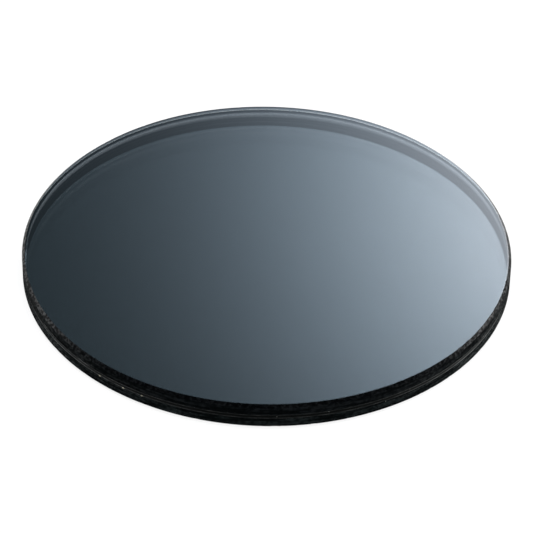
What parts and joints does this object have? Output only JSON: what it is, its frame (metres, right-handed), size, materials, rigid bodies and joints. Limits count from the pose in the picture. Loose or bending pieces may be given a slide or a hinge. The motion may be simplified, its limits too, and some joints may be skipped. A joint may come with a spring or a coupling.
{
  "type": "round laminated glass filter",
  "caption": "Thin round laminated glass filter: clear plates with a dark polarizing film bonded between them and ground, bevelled edges.",
  "frame": {"origin": "centre of the lower flat face", "axes": "+Z through the thickness, up out of the upper face; X and Y lie in the faces"},
  "size_m": [0.05, 0.05, 0.0028],
  "materials": {
    "glass_plate": "polished flat faces, fine-ground dark side wall and bevels",
    "optical_adhesive": "clear cured adhesive, seen only as a thin grey line in the ground edge",
    "cover_film": "clear cellulose triacetate film over the dark film, dark as seen through the stack",
    "polarizing_film": "neutral dark grey stained film, smooth and even"
  },
  "bodies": {
    "root": {"upper_glass_plate": "glass_plate", "upper_adhesive_layer": "optical_adhesive", "upper_cover_film": "cover_film", "polarizing_film": "polarizing_film", "lower_cover_film": "cover_film", "lower_adhesive_layer": "optical_adhesive", "lower_glass_plate": "glass_plate"}
  },
  "joints": []
}
